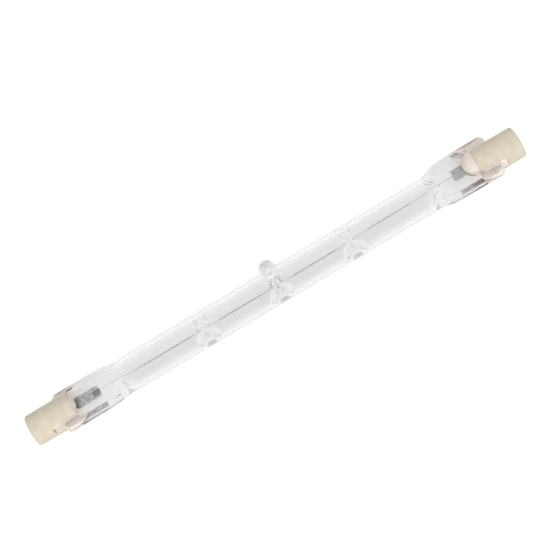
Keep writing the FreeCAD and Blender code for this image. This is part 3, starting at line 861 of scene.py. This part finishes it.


# Slot fills: the slot of each cap runs on beyond the glass and is filled with paste
# almost flush with the barrel, short of the slot's floor by a fine crack. The left fills take a
# darker copy of the paste, a painted shade, and the left near one is painted dark brown at that
# crack, a painted shadow of it.
fill_start = 52.0 * mm
fill_end = 54.42 * mm
fill_half = 1.17 * mm
fill_depth = 0.9 * mm
fill_recess = 0.09 * mm
fill_steps = 22
cap_radius = 3.5 * mm
# Beyond this the left near fill is painted dark brown: painted shadow of the crack at the slot's
# floor
crack_shade_start = 54.2 * mm
grit = 0.02 * mm
# Each wave of grit has its share, and its radians in a metre along the slot and across it
grit_waves = ((1, 5200, 900), (1, -2100, 3100), (0.7, 6100, 7900))
fill_seeds = {("left", "near"): 27, ("left", "far"): 33,
              ("right", "near"): 29, ("right", "far"): 35}

# A darker copy of the cement for the left fills: painted shade, which holds down the front softbox's
# light on that end
shaded_paste_copy, shader = new_finish("shaded_paste_copy", srgb(222, 211, 199), roughness=0.9)
shaded_copy_dark = srgb(204, 192, 178)
shaded_copy_pale = srgb(228, 217, 204)
shaded_copy_sand = noise(shaded_paste_copy, size=0.4 * mm, detail=4.0, roughness=0.6)
paint(shaded_paste_copy, shader, ramp(shaded_paste_copy, shaded_copy_sand, (0.3, shaded_copy_dark), (0.6, shaded_copy_pale)))
bump(shaded_paste_copy, shader, shaded_copy_sand, depth=0.03 * mm)
# A dark brown finish at the crack: painted shadow of the crack
painted_crack_shade, shader = new_finish("painted_crack_shade_paste", srgb(150, 124, 84), roughness=0.9)
crack_shade_dark = srgb(128, 100, 62)
crack_shade_pale = srgb(176, 150, 110)
crack_shade_marks = noise(painted_crack_shade, size=0.2 * mm, detail=3.0)
paint(painted_crack_shade, shader, ramp(painted_crack_shade, crack_shade_marks, (0.35, crack_shade_dark), (0.65, crack_shade_pale)))
fill_finishes = {"left": shaded_paste_copy, "right": cement_mix}


def slot_fill(end, side):
    """A rough block of paste in the mouth of the slot, its face level with the cap."""
    end_sign = 1 if end == "right" else -1
    side_sign = 1 if side == "far" else -1
    luck = np.random.default_rng(fill_seeds[(end, side)])
    phases = luck.uniform(0, 2 * math.pi, len(grit_waves))
    points = []
    for depth in (0, fill_depth):
        for row in range(fill_steps + 1):
            along = fill_start + (fill_end - fill_start) * row / fill_steps
            for column in range(fill_steps + 1):
                high = fill_half * (2 * column / fill_steps - 1)
                rough = sum(share * math.sin(run * along + over * high + phase)
                            for (share, run, over), phase in zip(grit_waves, phases))
                level = math.sqrt(cap_radius ** 2 - high ** 2) - fill_recess + grit * rough
                points.append((end_sign * along, side_sign * (level - depth), high))
    faces = sheet_faces(fill_steps, fill_steps)
    if end_sign * side_sign < 0:
        faces = [tuple(reversed(face)) for face in faces]
    piece = put_together(f"{end}_{side}_slot_fill", points, faces)
    piece.data.materials.append(fill_finishes[end])
    piece.data.materials.append(painted_crack_shade)
    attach(piece, "root")
    return piece


for end in ends:
    for side in ("near", "far"):
        fill = slot_fill(end, side)
        # Faces by the crack take the dark brown painted shadow
        if (end, side) == ("left", "near"):
            for face in fill.data.polygons:
                out = abs((back_to_lamp @ face.center).x)
                face.material_index = int(out > crack_shade_start)


# Floor: a white table. It glows a little for the camera, and less in mirrors and through the
# glass, so that it shows white there and still keeps the lamp's faint shadow.
floor_half = 1.5
floor_white = (0.8, 0.8, 0.8)
seen_white = 0.5
seen_through_glass = 0.165
floor_corners = [(-floor_half, -floor_half, 0), (floor_half, -floor_half, 0),
                 (floor_half, floor_half, 0), (-floor_half, floor_half, 0)]
floor_mesh = bpy.data.meshes.new("floor")
floor_mesh.from_pydata(floor_corners, [], [(0, 1, 2, 3)])
floor = bpy.data.objects.new("floor", floor_mesh)
bpy.context.scene.collection.objects.link(floor)
table_white, shader = new_finish("table_white", floor_white, roughness=0.9)
shader.inputs["Specular IOR Level"].default_value = 0.0
nodes = table_white.node_tree.nodes
links = table_white.node_tree.links
ray = nodes.new("ShaderNodeLightPath")
direct = nodes.new("ShaderNodeMath")
direct.operation = "MULTIPLY"
direct.inputs[1].default_value = seen_white
bent = nodes.new("ShaderNodeMath")
bent.operation = "MULTIPLY_ADD"
bent.inputs[1].default_value = seen_through_glass
glow = nodes.new("ShaderNodeEmission")
both = nodes.new("ShaderNodeAddShader")
links.new(ray.outputs["Is Camera Ray"], direct.inputs[0])
links.new(ray.outputs["Is Glossy Ray"], bent.inputs[0])
links.new(direct.outputs["Value"], bent.inputs[2])
links.new(bent.outputs["Value"], glow.inputs["Strength"])
links.new(shader.outputs["BSDF"], both.inputs[0])
links.new(glow.outputs["Emission"], both.inputs[1])
links.new(both.outputs["Shader"], nodes["Material Output"].inputs["Surface"])
floor.data.materials.append(table_white)


# Room and light: a white room that lights the lamp evenly, with two softboxes. Glass and
# metal mirror it as bright all round and greyer overhead behind the lamp, with a darker patch
# in the middle of the grey, which draws the dark strokes in the clear glass.
overhead_way = (0.0, 0.6, 0.8)
grey_from = 0.2
bright_room = 0.88
grey_room = 0.65
patch_edge = 0.92
patch_middle = 0.985
patch_share = 0.5
room_light = 0.63
world = bpy.data.worlds.new("studio")
bpy.context.scene.world = world
world.use_nodes = True
sky = world.node_tree.nodes["Background"]
sky.inputs["Color"].default_value = (1, 1, 1, 1)
room = world.node_tree.nodes
join = world.node_tree.links
ray = room.new("ShaderNodeLightPath")
way = room.new("ShaderNodeTexCoord")
overhead = room.new("ShaderNodeVectorMath")
overhead.operation = "DOT_PRODUCT"
overhead.inputs[1].default_value = overhead_way
join.new(way.outputs["Generated"], overhead.inputs[0])


def shade(start, end, low, high):
    """A brightness that runs smoothly from low to high as the way turns overhead."""
    span = room.new("ShaderNodeMapRange")
    span.interpolation_type = "SMOOTHSTEP"
    span.inputs["From Min"].default_value = start
    span.inputs["From Max"].default_value = end
    span.inputs["To Min"].default_value = low
    span.inputs["To Max"].default_value = high
    join.new(overhead.outputs["Value"], span.inputs["Value"])
    return span.outputs["Result"]


mirrored = room.new("ShaderNodeMath")
mirrored.operation = "MULTIPLY"
join.new(shade(grey_from, 1.0, bright_room, grey_room), mirrored.inputs[0])
join.new(shade(patch_edge, patch_middle, 1.0, patch_share), mirrored.inputs[1])
strength = room.new("ShaderNodeMix")
strength.data_type = "FLOAT"
strength.inputs["B"].default_value = room_light
join.new(mirrored.outputs["Value"], strength.inputs["A"])
join.new(ray.outputs["Is Diffuse Ray"], strength.inputs["Factor"])
join.new(strength.outputs["Result"], sky.inputs["Strength"])


def soft_light(name, place, size, power):
    """A square softbox that faces the lamp."""
    box = bpy.data.lights.new(name, "AREA")
    box.size = size
    box.energy = power
    holder = bpy.data.objects.new(name, box)
    holder.location = place
    holder.rotation_euler = (-Vector(place)).to_track_quat("-Z", "Y").to_euler()
    holder.visible_glossy = False
    holder.visible_transmission = False
    bpy.context.scene.collection.objects.link(holder)


soft_light("front_softbox", place=(-0.15, -0.85, 0.65), size=0.5, power=5.0)
soft_light("top_softbox", place=(0.35, 0.15, 0.95), size=0.6, power=1.8)


# Camera: nearly overhead, tilted a little to the front, and rolled so that the lamp rises
# to the right across the picture.
view_elevation = math.radians(73.7)
view_roll = math.radians(30.86)
view_distance = 370 * mm
picture_width = 550
pixels_per_mm = 4.81
aim_along = 1.16 * mm
aim_up = 2.06 * mm
towards = Vector((0, -math.cos(view_elevation), math.sin(view_elevation)))
up_plain = Vector((0, math.sin(view_elevation), math.cos(view_elevation)))
right_way = Vector((math.cos(view_roll), 0, 0)) - up_plain * math.sin(view_roll)
up_way = Vector((math.sin(view_roll), 0, 0)) + up_plain * math.cos(view_roll)
aim = axis_point + Vector((aim_along, 0, 0)) + up_plain * aim_up
camera_data = bpy.data.cameras.new("camera")
camera_data.sensor_width = 36
camera_data.lens = pixels_per_mm / mm / picture_width * view_distance * camera_data.sensor_width
camera_data.clip_start = 10 * mm
camera = bpy.data.objects.new("camera", camera_data)
camera.matrix_world = Matrix.Translation(aim + towards * view_distance) @ Matrix(
    (right_way, up_way, towards)).transposed().to_4x4()
bpy.context.scene.collection.objects.link(camera)
bpy.context.scene.camera = camera
bpy.context.scene.view_settings.view_transform = "Standard"
